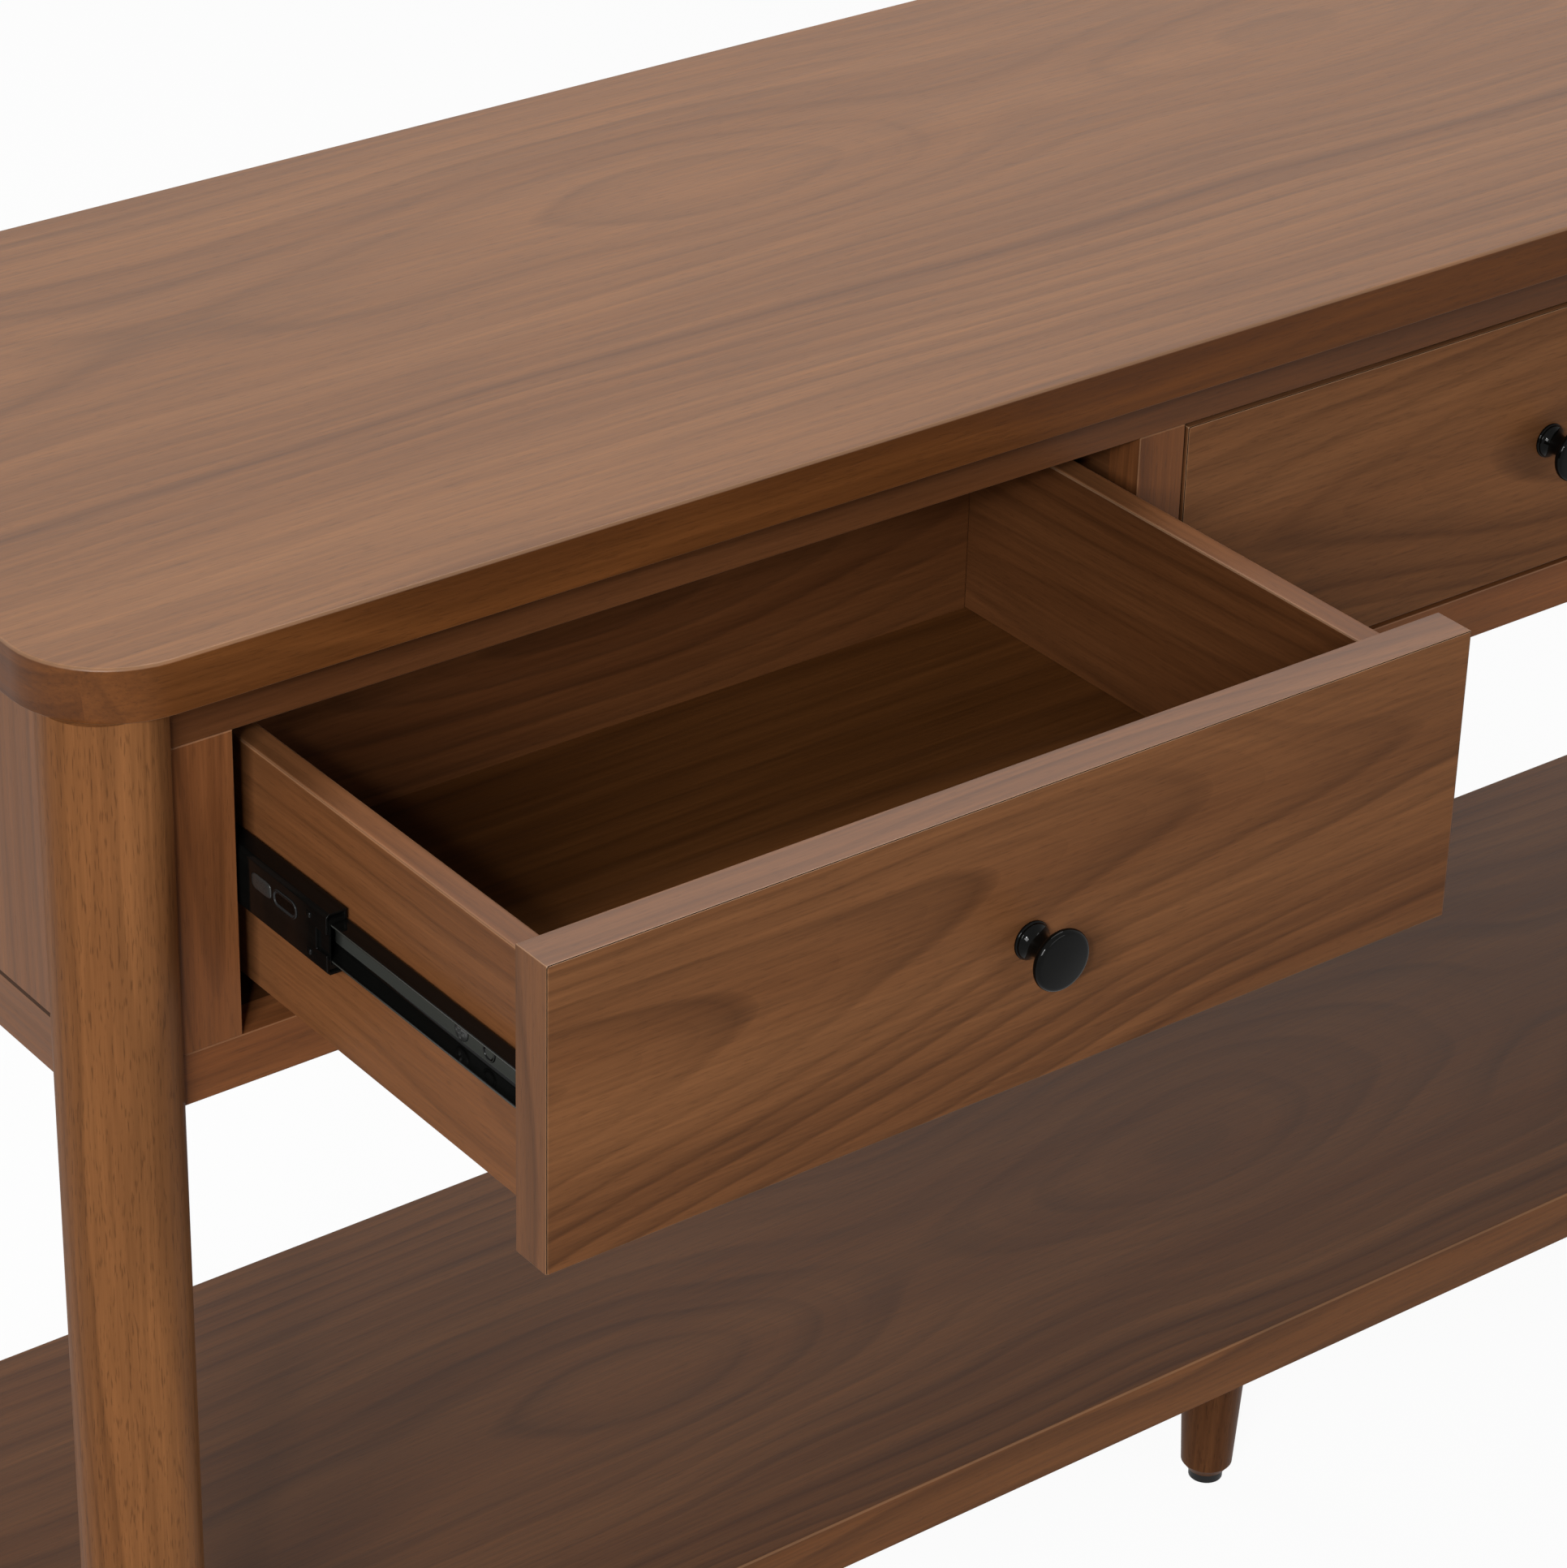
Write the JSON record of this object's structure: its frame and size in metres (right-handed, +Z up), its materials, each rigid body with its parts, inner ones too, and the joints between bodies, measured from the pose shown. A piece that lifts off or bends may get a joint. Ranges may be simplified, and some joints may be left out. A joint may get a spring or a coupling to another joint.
{
  "type": "console table",
  "caption": "Long walnut console table with a row of drawers on telescopic slides, round tapered legs, a low shelf and a foot under its middle.",
  "frame": {"origin": "on the floor under the middle of the table, at the centre of the middle foot's glide", "axes": "+X to the right along the table, -Y out of the drawer fronts, +Z up"},
  "size_m": [1.48, 0.5568, 0.77],
  "materials": {
    "walnut": "satin lacquered walnut",
    "drawer_wood": "satin dark walnut",
    "slide_black": "satin black",
    "stop_black": "matt black",
    "knob_black": "gloss black",
    "glide_black": "matt black"
  },
  "bodies": {
    "table": {"back_left_leg": "walnut", "back_panel": "walnut", "back_right_leg": "walnut", "bottom_board": "walnut", "bottom_rail": "walnut", "centre_foot": "walnut", "divider_1": "walnut", "divider_2": "walnut", "drawer_1_cabinet_rails": "slide_black", "drawer_2_cabinet_rails": "slide_black", "drawer_3_cabinet_rails": "slide_black", "front_left_leg": "walnut", "front_right_leg": "walnut", "glides": "glide_black", "left_end_stile": "walnut", "left_side_panel": "walnut", "left_side_rail": "walnut", "left_slide_bearer": "walnut", "loose_tenons": "walnut", "middle_stile_1": "walnut", "middle_stile_2": "walnut", "right_end_stile": "walnut", "right_side_panel": "walnut", "right_side_rail": "walnut", "right_slide_bearer": "walnut", "shelf": "walnut", "top": "walnut", "top_rail": "walnut"},
    "drawer_1": {"drawer_1_front": "walnut", "drawer_1_left_side": "drawer_wood", "drawer_1_right_side": "drawer_wood", "drawer_1_back": "drawer_wood", "drawer_1_bottom": "drawer_wood", "drawer_1_knob": "knob_black", "drawer_1_drawer_rails": "slide_black"},
    "drawer_1_slide_middles": {"drawer_1_middle_rails": "slide_black", "drawer_1_slide_stops": "stop_black"},
    "drawer_2": {"drawer_2_front": "walnut", "drawer_2_left_side": "drawer_wood", "drawer_2_right_side": "drawer_wood", "drawer_2_back": "drawer_wood", "drawer_2_bottom": "drawer_wood", "drawer_2_knob": "knob_black", "drawer_2_drawer_rails": "slide_black"},
    "drawer_2_slide_middles": {"drawer_2_middle_rails": "slide_black", "drawer_2_slide_stops": "stop_black"},
    "drawer_3": {"drawer_3_front": "walnut", "drawer_3_left_side": "drawer_wood", "drawer_3_right_side": "drawer_wood", "drawer_3_back": "drawer_wood", "drawer_3_bottom": "drawer_wood", "drawer_3_knob": "knob_black", "drawer_3_drawer_rails": "slide_black"},
    "drawer_3_slide_middles": {"drawer_3_middle_rails": "slide_black", "drawer_3_slide_stops": "stop_black"}
  },
  "joints": [
    {"name": "drawer_1_slide", "type": "slide", "parent": "table", "child": "drawer_1", "axis": [0, -1, 0], "range_m": [-0.1945, 0.0555]},
    {"name": "drawer_1_middle_slide", "type": "slide", "parent": "table", "child": "drawer_1_slide_middles", "axis": [0, -1, 0], "range_m": [-0.0778, 0.0222]},
    {"name": "drawer_2_slide", "type": "slide", "parent": "table", "child": "drawer_2", "axis": [0, -1, 0], "range_m": [0, 0.25]},
    {"name": "drawer_2_middle_slide", "type": "slide", "parent": "table", "child": "drawer_2_slide_middles", "axis": [0, -1, 0], "range_m": [0, 0.1]},
    {"name": "drawer_3_slide", "type": "slide", "parent": "table", "child": "drawer_3", "axis": [0, -1, 0], "range_m": [0, 0.25]},
    {"name": "drawer_3_middle_slide", "type": "slide", "parent": "table", "child": "drawer_3_slide_middles", "axis": [0, -1, 0], "range_m": [0, 0.1]}
  ],
  "couplings": [
    {"joint": "drawer_1_middle_slide", "follows": "drawer_1_slide", "ratio": 0.4},
    {"joint": "drawer_2_middle_slide", "follows": "drawer_2_slide", "ratio": 0.4},
    {"joint": "drawer_3_middle_slide", "follows": "drawer_3_slide", "ratio": 0.4}
  ]
}
